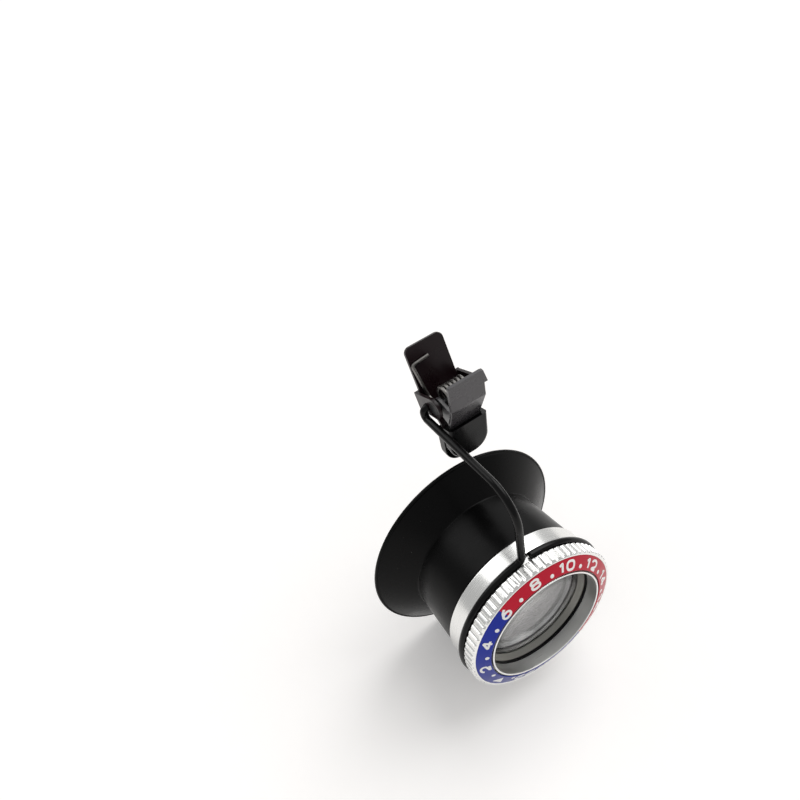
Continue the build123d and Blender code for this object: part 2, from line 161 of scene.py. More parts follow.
# %% Rounded line
def rounded_line(corners, radii, closed, steps=5, run_inset=0.12):
    """Runs between corners with an arc of its radius at each corner.

    Arc point = centre + (a sin((1 - t) w) + b sin(t w)) / sin(w), where a and b lead from the
    centre to the two touching points and w is the angle between them. A point is also put
    run_inset inside each run, or a fifth of a short run, so that a flat run stays flat when
    the surface is shaded smooth.
    """
    p = np.asarray(corners, float)
    radii = np.broadcast_to(np.asarray(radii, float), len(p) if closed else len(p) - 2)
    middle = p if closed else p[1:-1]
    before = np.roll(p, 1, axis=0) if closed else p[:-2]
    after = np.roll(p, -1, axis=0) if closed else p[2:]
    run_in = before - middle
    run_out = after - middle
    length_in = np.linalg.norm(run_in, axis=1, keepdims=True)
    length_out = np.linalg.norm(run_out, axis=1, keepdims=True)
    u, v = run_in / length_in, run_out / length_out
    half = np.arccos(np.clip((u * v).sum(axis=1), -1, 1)) / 2
    reach = radii / np.tan(half)
    bisector = (u + v) / np.linalg.norm(u + v, axis=1, keepdims=True)
    centre = middle + bisector * (radii / np.sin(half))[:, None]
    start, end = middle + u * reach[:, None], middle + v * reach[:, None]
    a, b = (start - centre)[:, None], (end - centre)[:, None]
    turn = (math.pi - 2 * half)[:, None, None]
    t = np.linspace(0, 1, steps + 1)[None, :, None]
    arc = centre[:, None] + (a * np.sin((1 - t) * turn) + b * np.sin(t * turn)) / np.sin(turn)
    inset_in = np.minimum(run_inset, (length_in[:, 0] - reach) / 5)[:, None]
    inset_out = np.minimum(run_inset, (length_out[:, 0] - reach) / 5)[:, None]
    line = np.concatenate([
        (start + u * inset_in)[:, None], arc, (end + v * inset_out)[:, None],
    ], axis=1).reshape(-1, p.shape[1])
    return line if closed else np.concatenate([p[:1], line, p[-1:]])


square = rounded_line([(0, 0), (1, 0), (1, 1), (0, 1)], 0.1, True)
print("a square with round corners has", len(square), "points")

# %% [markdown]
# ## Turned parts and wires
# A turned part is its half section carried round the axis, as on a lathe. A wire
# is a small circle carried along a path. The circle has to be turned with the
# path without twisting, or the wire would look wrung.

# %% Turned parts
def turned(name, profile, segments=192, closed=True, cut_radius=None, angles=None):
    """Surface of revolution of a (radius, station) profile about the loupe's axis.

    Point (i, j) = profile point i turned to angle j. cut_radius(angle) gives a radius that
    the surface may not pass, which is how flutes are cut. A profile that starts and ends on
    the axis is left open there, and its poles are merged.
    """
    profile = np.asarray(profile, float)
    angles = np.linspace(0, 2 * math.pi, segments, endpoint=False) if angles is None else angles
    radius = np.broadcast_to(profile[:, :1], (len(profile), len(angles)))
    if cut_radius is not None:
        radius = np.minimum(radius, cut_radius(angles)[None, :])
    points = on_loupe(radius, profile[:, 1:], angles[None, :])
    return make_piece(name, points, grid_faces(len(profile), len(angles), closed, True))


print("turned parts ready")

# %% Wires
end_steps = 5
any_direction = (0.3, 0.5, 0.8)  # only has to differ from the wire's own first direction
gap_angle = 135  # where the open rings are open, in degrees


def wire(name, path, thickness, sides=20, end_share=0.3):
    """Round wire along a path, each of its ends a little hollow.

    Point (i, j) = path point i + r (n cos j + b sin j). The frame n, b is carried from one
    station to the next by taking out of n its part along the new direction, so it never twists.
    An end falls in by end_share of the radius, along a quarter circle, and rises again to a
    point in its middle.
    """
    path = np.asarray(path, float)
    radius = thickness / 2
    way = np.gradient(path, axis=0)
    way /= np.linalg.norm(way, axis=1, keepdims=True)
    fall = np.linspace(0, math.pi / 2, end_steps)
    depth, shrink = end_share * radius * np.sin(fall), end_share * radius * (1 - np.cos(fall))
    head = path[0] + way[0] * depth[::-1, None]
    tail = path[-1] - way[-1] * depth[:, None]
    path = np.concatenate([path[:1], head, path[1:-1], tail, path[-1:]])
    even = np.full(len(way) - 2, radius)
    radii = np.concatenate([[0], radius - shrink[::-1], even, radius - shrink, [0]])
    way = np.repeat(way, [end_steps + 1] + [1] * (len(way) - 2) + [end_steps + 1], axis=0)
    normal = np.empty_like(path)
    side = np.cross(way[0], any_direction)
    for i, direction in enumerate(way):
        side = side - direction * (side @ direction)
        side = side / np.linalg.norm(side)
        normal[i] = side
    other = np.cross(way, normal)
    j = np.linspace(0, 2 * math.pi, sides, endpoint=False)[None, :, None]
    ring = normal[:, None] * np.cos(j) + other[:, None] * np.sin(j)
    points = path[:, None] + radii[:, None, None] * ring
    return make_piece(name, points, grid_faces(len(path), sides, False, True))


def open_ring(name, radius, station, thickness, opening, sides=14, stations=150):
    """Wire bent to a ring about the loupe's axis, open by this many degrees at the gap angle."""
    half, gap = math.radians(opening / 2), math.radians(gap_angle)
    angle = np.linspace(gap + half, gap + 2 * math.pi - half, stations)
    return wire(name, on_loupe(radius, station, angle), thickness, sides)


print("wires ready, open rings are open at", gap_angle, "degrees")

# %% [markdown]
# ## Colours and nodes
# Colours are picked as sRGB hex values, which is what an eye or a paint card
# gives, and Blender's shaders work in linear light, so one function converts
# them. A second small function adds a node with its settings and links, which
# keeps each material short enough to read.

# %% Colour and node helpers
def linear(hex_colour):
    """sRGB hex to linear: c / 12.92 in the dark part, ((c + 0.055) / 1.055) ** 2.4 above it."""
    c = np.array([int(hex_colour[k:k + 2], 16) for k in (1, 3, 5)]) / 255
    c = np.where(c <= 0.04045, c / 12.92, ((c + 0.055) / 1.055) ** 2.4)
    return (*c.tolist(), 1.0)


def add(tree, kind, inputs=None, **settings):
    """Add a node: settings are its own, inputs are socket values or the sockets to link from."""
    node = tree.nodes.new(kind)
    for key, value in settings.items():
        setattr(node, key, value)
    for key, value in (inputs or {}).items():
        if isinstance(value, bpy.types.NodeSocket):
            tree.links.new(value, node.inputs[key])
        else:
            node.inputs[key].default_value = value
    return node


def new_finish(name, **values):
    """Material with one Principled shader set to these values."""
    material = bpy.data.materials.new(name)
    material.use_nodes = True
    tree = material.node_tree
    tree.nodes.clear()
    shader = add(tree, "ShaderNodeBsdfPrincipled", values)
    add(tree, "ShaderNodeOutputMaterial", {"Surface": shader.outputs["BSDF"]})
    return material, tree, shader


def millimetres(tree, origin=(0.0, 0.0, 0.0)):
    """Object coordinates in millimetres, counted from an origin in millimetres."""
    place = add(tree, "ShaderNodeTexCoord")
    return add(tree, "ShaderNodeMapping", {
        "Vector": place.outputs["Object"], "Scale": (1 / MM, 1 / MM, 1 / MM),
        "Location": (-origin[0], -origin[1], -origin[2]),
    }).outputs["Vector"]


def round_the_axis(tree):
    """Radius from the loupe's axis, station behind the bezel's front, and a vector of the two."""
    place = millimetres(tree, (axis_x, front_y, axis_z))
    parts = add(tree, "ShaderNodeSeparateXYZ", {"Vector": place})
    across = add(tree, "ShaderNodeCombineXYZ", {"X": parts.outputs["X"], "Z": parts.outputs["Z"]})
    length = add(tree, "ShaderNodeVectorMath", {
        "Vector": across.outputs["Vector"],
    }, operation="LENGTH")
    radius, station = length.outputs["Value"], parts.outputs["Y"]
    both = add(tree, "ShaderNodeCombineXYZ", {"X": radius, "Y": station})
    return radius, station, both.outputs["Vector"]


def wander(tree, place, patch, low, high, detail=2.0):
    """A value that drifts between low and high over patches of a size in millimetres.

    The middle half of the noise is spread over that range, and the rest is cut off.
    """
    noise = add(tree, "ShaderNodeTexNoise", {
        "Vector": place, "Scale": 1 / patch, "Detail": detail,
    })
    drift = add(tree, "ShaderNodeMapRange", {
        "Value": noise.outputs["Fac"], "From Min": 0.25, "From Max": 0.75,
        "To Min": low, "To Max": high,
    })
    return drift.outputs["Result"]


def grainy(tree, shader, place, scale, detail, strength, depth):
    """Bump the surface by a depth in millimetres with a noise of a scale per millimetre."""
    noise = add(tree, "ShaderNodeTexNoise", {"Vector": place, "Scale": scale, "Detail": detail})
    bump = add(tree, "ShaderNodeBump", {
        "Height": noise.outputs["Fac"], "Strength": strength, "Distance": depth * MM,
    })
    tree.links.new(bump.outputs["Normal"], shader.inputs["Normal"])


def seen_by(tree, *rays):
    """One on the named kinds of ray and zero on all others: the largest of their flags."""
    path = add(tree, "ShaderNodeLightPath")
    value = path.outputs[rays[0]]
    for ray in rays[1:]:
        largest = add(tree, "ShaderNodeMath", {0: value, 1: path.outputs[ray]}, operation="MAXIMUM")
        value = largest.outputs["Value"]
    return value


print("brick red in linear light:", [round(c, 3) for c in linear("#aa1e32")])

# %% [markdown]
# ## Turned aluminium
# The head and the bezel are aluminium, turned on a lathe and anodised clear. The
# tool leaves rings too fine to count, about 0.05 mm apart. They smear every
# reflection across the ring's direction, which gives the soft silver look.
# A noise that only reads the radius and the station is the same all the way
# round, just as a tool mark is. It is drawn at 0.12 mm so that it shows at all.

# %% Turned aluminium
mark, mark_depth = 0.12, 0.0006
# Behind station 1.9 mm the bore is painted darker, as shade.
bore_edge, painted_shade_from, bore_rougher = 11.3, 1.9, 0.15


def turned_metal(name, colour, rough_low, rough_high, inside=None):
    """Metal with tool rings: noise of (radius, station) drives roughness and a very small bump.

    With a second colour inside, all within the bore's edge is rougher by a fixed amount, and
    the bore behind the wire ring takes that darker colour as painted shade for the deep bore.
    """
    material, tree, shader = new_finish(name, **{"Base Color": linear(colour), "Metallic": 1.0})
    radius, station, rings = round_the_axis(tree)
    marks = add(tree, "ShaderNodeTexNoise", {
        "Vector": rings, "Scale": 1 / mark, "Detail": 3.0, "Roughness": 0.6,
    }, noise_dimensions="2D")
    cloud = wander(tree, millimetres(tree), 4.0, 0.8, 1.2)
    rough = add(tree, "ShaderNodeMapRange", {
        "Value": marks.outputs["Fac"], "From Min": 0.3, "From Max": 0.7,
        "To Min": rough_low, "To Max": rough_high,
    })
    both = add(tree, "ShaderNodeMath", {0: rough.outputs["Result"], 1: cloud}, operation="MULTIPLY")
    tree.links.new(both.outputs["Value"], shader.inputs["Roughness"])
    if inside:
        within = add(tree, "ShaderNodeMath", {0: radius, 1: bore_edge}, operation="LESS_THAN")
        behind = add(tree, "ShaderNodeMath", {0: station, 1: painted_shade_from}, operation="GREATER_THAN")
        bore = add(tree, "ShaderNodeMath", {
            0: within.outputs["Value"], 1: behind.outputs["Value"],
        }, operation="MULTIPLY")
        # Painted shade: behind the wire ring the bore's colour is mixed to the darker inside grey.
        colours = add(tree, "ShaderNodeMix", {
            "Factor": bore.outputs["Value"], "A": linear(colour), "B": linear(inside),
        }, data_type="RGBA")
        tree.links.new(colours.outputs["Result"], shader.inputs["Base Color"])
        rougher = add(tree, "ShaderNodeMath", {
            0: within.outputs["Value"], 1: bore_rougher, 2: both.outputs["Value"],
        }, operation="MULTIPLY_ADD")
        tree.links.new(rougher.outputs["Value"], shader.inputs["Roughness"])
    bump = add(tree, "ShaderNodeBump", {
        "Height": marks.outputs["Fac"], "Strength": 0.35, "Distance": mark_depth * MM,
    })
    tree.links.new(bump.outputs["Normal"], shader.inputs["Normal"])
    return material


# The inside grey is painted shade for the head's deep bore behind the wire ring.
clear_anodised = turned_metal(
    "Aluminium turned and clear anodised", "#e6e6e4", 0.14, 0.32, inside="#6a6a6b",
)
coin_edge_satin = turned_metal("Aluminium coin edge, satin", "#ececea", 0.18, 0.3)
grey_anodised = turned_metal("Aluminium turned and anodised grey", "#85847f", 0.35, 0.55)
dark_anodised = turned_metal("Aluminium turned and anodised dark", "#7e7e7e", 0.4, 0.6)
bright_spring = turned_metal("Spring steel, drawn bright", "#b9b9b6", 0.2, 0.4)
print("metals:", clear_anodised.name, "|", coin_edge_satin.name, "|", grey_anodised.name)

# %% [markdown]
# ## The coin edge bezel
# The bezel is knurled like a coin: 72 straight flutes cut by a small round tool.
# They could be cut with a Boolean for each flute, but one formula does all of
# them. Seen along the axis, a flute is an arc of the tool's circle, so at each
# angle the surface may not stand further out than that arc. The profile is
# turned with that limit, and where the limit meets the chamfer the little
# notches of the front rim appear by themselves.

# %% Coin edge
flutes, flute_radius, flute_depth, flute_half_width = 72, 0.54, 0.24, 0.449
bezel_radius, bezel_depth, chamfer, rim = 14.96, 2.42, 0.4, 0.38
insert_inner, insert_outer, insert_rise, insert_thickness = 11.75, 14.3, 1.0045, 0.45


def flute_limit(angle):
    """Radius of the flutes' arcs: R cos d - sqrt(q q - R R sin d sin d).

    R is the radius the tool's centres lie on, q the tool's own, and d the angle from the
    nearest flute. Between two flutes there is no limit.
    """
    pitch = 2 * math.pi / flutes
    d = (angle + pitch / 2) % pitch - pitch / 2
    tool = bezel_radius + flute_radius - flute_depth
    inside = flute_radius ** 2 - (tool * np.sin(d)) ** 2
    arc = tool * np.cos(d) - np.sqrt(np.clip(inside, 0, None))
    return np.where(inside > 0, arc, bezel_radius + 1)


def flute_angles():
    """Angles that are dense across each flute and have points at both edges of each land."""
    pitch = 2 * math.pi / flutes
    half = math.asin(flute_half_width / bezel_radius)
    across = half * np.array([-1, -0.95, -0.75, -0.5, -0.25, 0, 0.25, 0.5, 0.75, 0.95, 1])
    land = half + (pitch - 2 * half) * np.array([0.08, 0.5, 0.92])
    one = np.concatenate([across, land])
    return (np.arange(flutes)[:, None] * pitch + one[None, :]).ravel()


coin_profile = rounded_line([
    # front rim, chamfer and fluted edge
    (insert_outer, 0.0), (bezel_radius - rim, 0.0),
    (bezel_radius, chamfer), (bezel_radius, bezel_depth),
    # back, with the slip ring's pocket
    (13.6, bezel_depth), (13.6, 2.12), (12.85, 2.12), (12.85, bezel_depth), (12.45, bezel_depth),
    # bore, with the snap ring's groove
    (12.45, 1.952), (12.7, 1.952), (12.7, 1.452), (12.45, 1.452), (12.45, 0.942),
    # ledge and cone under the insert
    (insert_inner, 0.942), (insert_inner, insert_thickness - insert_rise),
    (insert_outer, insert_thickness),
], [0.06, 0.06, 0.08, 0.1] + [0.03] * 13, True, steps=4, run_inset=0.05)
bezel = turned("bezel_coin_edge", coin_profile, cut_radius=flute_limit, angles=flute_angles())
finish_piece(bezel, coin_edge_satin, "bezel", "bezel_aluminium", "bezel_ring")

# %% [markdown]
# ## The two colour scale ring
# The insert is a thin cone of aluminium, dyed red for the day hours and blue for
# the night, under a clear lacquer. The lacquer is what reflects white at a low
# angle, so the colours are metal with a clear coat on top. The two colours are
# two arcs of the same cone that meet in the middle of the 6 and the 18.

# %% Insert arcs
angle_of_18, angle_of_6 = -54, 126


def insert_arc(name, start, end, steps=140):
    """Cone ring from start to end in degrees: its section carried round, closed by flat ends."""
    section = rounded_line([
        (insert_outer, 0.0), (insert_outer, insert_thickness),
        (insert_inner, insert_thickness - insert_rise), (insert_inner, -insert_rise),
    ], [0.16, 0.05, 0.05, 0.1], True, steps=4)
    angle = np.radians(np.linspace(start, end, steps))
    points = on_loupe(section[None, :, 0], section[None, :, 1], angle[:, None])
    faces = grid_faces(steps, len(section), False, True)
    first_end = np.arange(len(section))
    last_end = first_end + (steps - 1) * len(section)
    return make_piece(name, points, faces + [first_end[::-1].tolist(), last_end.tolist()])


def dyed_metal(name, colour, deep, dye_ring=0.1):
    """Dyed anodised aluminium under lacquer: a coloured metal with fine rings and a clear coat."""
    material, tree, shader = new_finish(name, **{
        "Metallic": 0.96, "Coat Weight": 0.25, "Coat Roughness": 0.12, "Coat IOR": 1.42,
    })
    rings = round_the_axis(tree)[2]
    grain = add(tree, "ShaderNodeTexNoise", {
        "Vector": rings, "Scale": 1 / dye_ring, "Detail": 2.0,
    }, noise_dimensions="2D")
    tint = add(tree, "ShaderNodeMix", {
        "Factor": grain.outputs["Fac"], "A": linear(deep), "B": linear(colour),
    }, data_type="RGBA")
    tree.links.new(tint.outputs["Result"], shader.inputs["Base Color"])
    tree.links.new(wander(tree, millimetres(tree), 1.5, 0.3, 0.42), shader.inputs["Roughness"])
    return material


scale_red = dyed_metal("Aluminium dyed red, lacquered", "#b4162e", "#a61229")
scale_blue = dyed_metal("Aluminium dyed blue, lacquered", "#182b92", "#14247f")
red_arc = insert_arc("insert_day_half", angle_of_18, angle_of_6)
finish_piece(red_arc, scale_red, "bezel", "scale_insert", "bezel_insert")
blue_arc = insert_arc("insert_night_half", angle_of_6, angle_of_18 + 360)
finish_piece(blue_arc, scale_blue, "bezel", "scale_insert")

# %% [markdown]
# ## The numbers of the scale
# Even hours are numbers, odd hours are dots, and 24 is a triangle that points
# inwards. They are printed in white, a few hundredths of a millimetre thick. A
# font would do, but its outlines would still have to be wrapped on the cone.
# Here each digit is one or two pen strokes. A stroke is a flat ribbon carried
# along its line, and the cone's own formula puts it in place: a step to the
# right turns it clockwise and a step up moves it outwards along the slope.

# %% Pen strokes
digit_height, digit_width, one_width, digit_space = 2.02, 2.06, 1.15, 0.45
pen, pen_corner, ink = 0.44, 0.07, 0.035
slope = math.radians(21.5)
number_radius, dot_radius = 12.98, 12.5
dot_size, dot_top = 0.38, 0.35
angle_of_24, hour_step = 216, 15


def on_cone(u, v, lift, angle, centre):
    """Place (right, up, lift) on the cone: radius = centre + v cos(slope) + lift sin(slope)."""
    radius = centre + v * math.cos(slope) + lift * math.sin(slope)
    flat = centre + v * math.cos(slope)
    station = (flat - insert_inner) * math.tan(slope) - insert_rise - lift * math.cos(slope)
    return on_loupe(radius, station, angle - u / centre)


def oval(cx, cy, rx, ry, start=0, end=360, steps=28, power=2.6):
    """Squared oval: |cos t| and |sin t| to the power 2 / power, so the sides are straighter."""
    t = np.radians(np.linspace(start, end, steps))
    c, s = np.cos(t), np.sin(t)
    x = np.sign(c) * np.abs(c) ** (2 / power)
    y = np.sign(s) * np.abs(s) ** (2 / power)
    return np.stack([cx + rx * x, cy + ry * y], axis=-1)


half_w, half_h = (digit_width - pen) / 2, (digit_height - pen) / 2
small_y = half_h * 0.52
stem_x, bar_y = half_w * 0.42, -half_h * 0.38
strokes = {
    "0": [oval(0, 0, half_w, half_h, 0, 360, 36)],
    "1": [rounded_line([(-0.38, small_y), (0.2, half_h), (0.2, -half_h)], pen_corner, False, 4)],
    "2": [np.concatenate([
        oval(0, half_h - half_w * 0.8, half_w, half_w * 0.8, 165, -20, 20, 2.2),
        rounded_line([
            (half_w * 0.8, half_h - half_w * 1.3), (-half_w, -half_h), (half_w, -half_h),
        ], pen_corner, False, 4),
    ])],
    "4": [rounded_line([
        (half_w * 1.15, bar_y), (-half_w * 1.1, bar_y), (stem_x, half_h),
    ], pen_corner, False, 4), np.array([(stem_x, half_h), (stem_x, -half_h)])],
    "6": [np.concatenate([
        np.array([(half_w * 0.62, half_h), (-half_w * 0.25, half_h * 0.55)]),
        oval(0, small_y - half_h, half_w, half_h - small_y + 0.1, 165, 525, 32, 2.3),
    ])],
    "8": [oval(0, half_h - small_y * 0.9, half_w * 0.86, small_y * 0.9, 0, 360, 28, 2.3),
          oval(0, -half_h + small_y, half_w, small_y, 0, 360, 28, 2.3)],
}


def ribbon(line, angle, centre):
    """Points and faces of a flat stroke: its line moved sideways by up to half a pen."""
    line = np.asarray(line, float)
    way = np.gradient(line, axis=0)
    way /= np.linalg.norm(way, axis=1, keepdims=True)
    side = np.stack([-way[:, 1], way[:, 0]], axis=-1)
    across = np.array([-1, -0.93, 0.93, 1, 1, -1]) * pen / 2
    lift = np.array([0.6, 1, 1, 0.6, -1, -1]) * ink
    spot = line[:, None] + side[:, None] * across[None, :, None]
    points = on_cone(spot[..., 0], spot[..., 1], lift[None, :], angle, centre)
    rows, columns = points.shape[:2]
    last = (rows - 1) * columns
    ends = [list(range(columns)), list(range(last, last + columns))]
    return points.reshape(-1, 3), grid_faces(rows, columns, False, True) + ends


print("digits drawn:", "".join(strokes))

# %% Numbers, dots and triangle
def joined(parts):
    """One list of points and one of faces from several, each part's numbers moved up."""
    points, faces, count = [], [], 0
    for part_points, part_faces in parts:
        points.append(part_points)
        faces += [[corner + count for corner in face] for face in part_faces]
        count += len(part_points)
    return np.concatenate(points), faces


def hour_angle(hour):
    """Angle of an hour: the hours run clockwise from the 24 in equal steps."""
    return math.radians(angle_of_24 - hour_step * hour)


def filled(outline, top, hour, centre):
    """Points and faces of a filled shape: its outline scaled about (0, 0), raised, flat below.

    top is the share of the outline that the raised top covers.
    """
    scale = np.array([0.0, top, 1.0, 1.0, 0.0])
    lift = np.array([1.0, 1.0, 0.6, -1.0, -1.0]) * ink
    spot = outline[None] * scale[:, None, None]
    points = on_cone(spot[..., 0], spot[..., 1], lift[:, None], hour_angle(hour), centre)
    return points.reshape(-1, 3), grid_faces(len(scale), len(outline), False, True)


t = np.linspace(0, 2 * math.pi, 20, endpoint=False)
dot = dot_size * np.stack([np.cos(t), np.sin(t)], axis=-1)
triangle = rounded_line([(-1.35, 0.78), (1.35, 0.78), (0.0, -0.86)], 0.12, True, steps=3)
marks = [filled(dot, dot_top / dot_size, hour, dot_radius) for hour in range(1, 24, 2)]
marks.append(filled(triangle, 0.97, 24, number_radius))
for hour in range(2, 24, 2):
    text = str(hour)
    widths = [one_width if digit == "1" else digit_width for digit in text]
    left = -(sum(widths) + digit_space * (len(text) - 1)) / 2
    for digit, width in zip(text, widths):
        for stroke in strokes[digit]:
            marks.append(ribbon(stroke + (left + width / 2, 0), hour_angle(hour), number_radius))
        left += width + digit_space
marks = [(points, outwards(points, faces)) for points, faces in marks]
scale_points, scale_faces = joined(marks)
scale_marks = make_piece("scale_marks", scale_points, scale_faces)

screen_ink, tree, shader = new_finish("Screen printed white ink", **{
    "Base Color": linear("#f8f7f5"), "IOR": 1.5, "Coat Weight": 0.3, "Coat Roughness": 0.15,
})
tree.links.new(wander(tree, millimetres(tree), 0.17, 0.35, 0.55, 3.0), shader.inputs["Roughness"])
finish_piece(scale_marks, screen_ink, "bezel", "scale_insert")

# %% [markdown]
# ## The head
# One piece of aluminium carries everything: a thin lip in front that shows as a
# bright line, the neck for the bezel, the groove for the wire, the bright band
# and the spigot behind. A profile with a broken edge at every corner is turned
# about the axis. The band's edges are the largest, 0.2 mm.

# %% Head
head_profile = rounded_line([
    # lip, then the neck with the snap ring's groove
    (11.15, -1.05), (11.5, -1.05), (11.5, 0.992), (12.4, 0.992), (12.4, 1.452), (12.15, 1.452),
    (12.15, 1.952), (12.4, 1.952), (12.4, 2.47),
    # flange, the arm's groove and the bright band
    (14.3, 2.47), (14.3, 2.67), (13.75, 2.67), (13.75, 4.17), (14.4, 4.17), (14.4, 7.41),
    # spigot with the seal's groove
    (12.6, 7.41), (12.6, 8.21), (12.25, 8.21), (12.25, 8.86), (12.6, 8.86), (12.6, 10.41),
    # bore from behind, with the black wire ring's groove
    (10.05, 10.41), (10.05, 8.54), (11.15, 8.35), (11.15, 1.95), (11.46, 1.95), (11.46, 1.45),
    (11.15, 1.45),
], [0.12, 0.12] + [0.04] * 11 + [0.2, 0.2] + [0.04] * 13, True, steps=4, run_inset=0.08)
head = turned("head_turned", head_profile, 256)
finish_piece(head, clear_anodised, "loupe", "head_aluminium", "head_housing")

# %% [markdown]
# ## Rings inside and between
# In the bore a black wire ring shows as a thin black line, and behind it a grey
# cone leads to the lens. The other rings are seen only from behind or when the
# loupe is taken apart. They are all small turned profiles or bent wires, so the
# same functions make them.

# %% Rings
seat_profile = [(10.91, 1.95), (11.11, 1.95), (11.11, 3.31), (10.2, 3.05), (10.2, 2.85)]
seat = turned("lens_seat_cone", rounded_line(seat_profile, 0.03, True, 3, 0.05))
finish_piece(seat, grey_anodised, "loupe", "inner_dark", "lens_seat_ring")
spacer_profile = [(11.11, 4.89), (10.2, 5.152), (10.2, 7.05), (11.11, 7.05)]
spacer = turned("spacer_between_lenses", rounded_line(spacer_profile, 0.03, True, 3, 0.05), 160)
finish_piece(spacer, dark_anodised, "loupe", "inner_dark", "lens_spacer")

# %% Wire rings
def drawn_wire(name, colour):
    """Wire pulled through a die: metal whose gloss changes every few tenths of a millimetre."""
    material, tree, shader = new_finish(name, **{"Base Color": linear(colour), "Metallic": 1.0})
    tree.links.new(wander(tree, millimetres(tree), 0.3, 0.25, 0.5, 4.0), shader.inputs["Roughness"])
    return material


black_wire = drawn_wire("Spring wire, blackened", "#1a1a1b")
oiled_wire = drawn_wire("Spring wire, oil hardened", "#7c7a77")
retainer = open_ring("wire_ring_in_bore", 11.21, 1.70, 0.44, 30)
finish_piece(retainer, black_wire, "loupe", "spring_black", "front_wire_clip")
snap = open_ring("snap_ring_on_neck", 12.425, 1.702, 0.44, 24)
finish_piece(snap, bright_spring, "bezel", "snap_steel", "bezel_snap_ring")

# %% [markdown]
# ## Rubber, slippery plastic and the gasket
# The boots on the jaws and the seal on the spigot are black rubber, moulded or
# dipped, so they have a soft sheen and a very fine grain. The eyecup's black
# plastic is made by the same function with less gloss, and the slip ring behind
# the bezel is a pale sheet plastic.

# %% Rubber and plastic
def moulded(name, colour, rough_low, rough_high, grain, depth, gloss=0.5):
    """Moulded surface: a shallow grain and a roughness that drifts slowly from low to high.

    grain and depth are the grain's size and its depth in millimetres.
    """
    material, tree, shader = new_finish(name, **{
        "Base Color": linear(colour), "IOR": 1.5, "Specular IOR Level": gloss,
    })
    place = millimetres(tree)
    tree.links.new(wander(tree, place, 3.5, rough_low, rough_high), shader.inputs["Roughness"])
    grainy(tree, shader, place, 1 / grain, 2.0, 0.5, depth)
    return material


boot_rubber = moulded("Rubber, dipped black", "#070708", 0.1, 0.26, 0.25, 0.001, 0.16)
seal_rubber = moulded("Rubber, moulded seal", "#151516", 0.4, 0.55, 0.2, 0.004)
satin_black = moulded(
    "Polycarbonate, moulded satin black", "#050505", 0.24, 0.34, 0.22, 0.002, 0.09,
)
slip_sheet = moulded("Acetal sheet, natural", "#d8d5cb", 0.35, 0.5, 0.3, 0.002)

seal = turned("spigot_seal_ring", rounded_line([
    (12.25, 8.21), (12.65, 8.21), (12.65, 8.86), (12.25, 8.86),
], 0.15, True, 4, 0.03), 128)
finish_piece(seal, seal_rubber, "loupe", "boot_rubber", "spigot_seal")
gasket = turned("slip_ring", rounded_line([
    (12.85, 2.12), (13.6, 2.12), (13.6, 2.42), (12.85, 2.42),
], 0.03, True, 2, 0.03), 128)
finish_piece(gasket, slip_sheet, "bezel", "gasket_plastic", "bezel_gasket")

# %% [markdown]
# ## Lenses
# The front lens is biconvex and the second one is flat in front. A lens has to be
# truly smooth, because glass shows every facet twice, so the faces are sampled
# from the sphere's own formula and closed at the poles. The glass has the
# common IOR of 1.52 and a thin, slightly worn coating on it.

# %% Lenses
def sag(curve, radius):
    """Depth of a sphere's face at a radius: R - sqrt(R R - r r)."""
    return curve - np.sqrt(curve ** 2 - radius ** 2)


def lens_outline(front_curve, front, back, back_curve, edge=11.11, bevel=0.05, rows=44):
    """Half section from the front pole to the back pole, with a small ground bevel at the edge.

    front and back are the stations of the two edges. A front curve of 0 is a flat face.
    """
    r = edge * np.sin(np.linspace(0, math.pi / 2, rows))
    r[-1] = edge - bevel
    front_s = front + (sag(front_curve, r) - sag(front_curve, edge) if front_curve else 0 * r)
    back_s = back + sag(back_curve, edge) - sag(back_curve, r)
    face = np.stack([r, front_s], axis=-1)
    rear = np.stack([r, back_s], axis=-1)[::-1]
    rim_line = [(edge, front + bevel), (edge, (front + back) / 2), (edge, back - bevel)]
    return np.concatenate([face, rim_line, rear])


lens_glass, tree, shader = new_finish("Optical glass, polished and coated", **{
    "Base Color": linear("#f6f6f6"), "Roughness": 0.0, "IOR": 1.52, "Transmission Weight": 1.0,
    "Coat Weight": 0.15, "Coat Roughness": 0.02, "Coat IOR": 1.38,
})
tree.links.new(wander(tree, millimetres(tree), 2.9, 0.0, 0.005, 5.0), shader.inputs["Roughness"])

front_sphere, rear_sphere = 38.0, 60.0
biconvex = lens_outline(front_sphere, 3.35, 4.85, front_sphere)
front_lens = turned("front_lens_glass", biconvex, closed=False)
finish_piece(front_lens, lens_glass, "loupe", "lens_glass", "front_lens")
flat_in_front = lens_outline(0, 7.05, 8.35, rear_sphere)
rear_lens = turned("rear_lens_glass", flat_in_front, closed=False)
finish_piece(rear_lens, lens_glass, "loupe", "lens_glass", "rear_lens")

# %% [markdown]
# ## The eyecup
# The black moulding narrows slightly towards its crease and then flares to a
# rounded rim that stands before the eye. It is a turned profile again, with
# larger soft corners, because a moulding's edges follow its tool.

# %% Eyecup
crease, flare = (13.35, 18.51), (19.15, 22.7)
cup_back, cup_bore, flare_wall = 23.45, 12.25, 1.1
lean = math.atan2(flare[1] - crease[1], flare[0] - crease[0])
inner_start = crease[1] + flare_wall / math.cos(lean) - flare_wall * math.tan(lean)
inner_end = cup_bore + (cup_back - inner_start) / math.tan(lean)
eyecup_profile = rounded_line([
    (12.65, 7.41), (14.08, 7.41), crease, flare, (19.57, flare[1]), (19.57, cup_back),
    (inner_end, cup_back), (cup_bore, inner_start), (cup_bore, 10.61), (12.65, 10.61),
], [0.05, 0.3, 0.3, 0.2, 0.3, 0.3, 0.25, 0.3, 0.05, 0.05], True, steps=6, run_inset=0.15)
cup = turned("eyecup_moulding", eyecup_profile, 256)
finish_piece(cup, satin_black, "loupe", "eyecup_plastic", "eyecup")

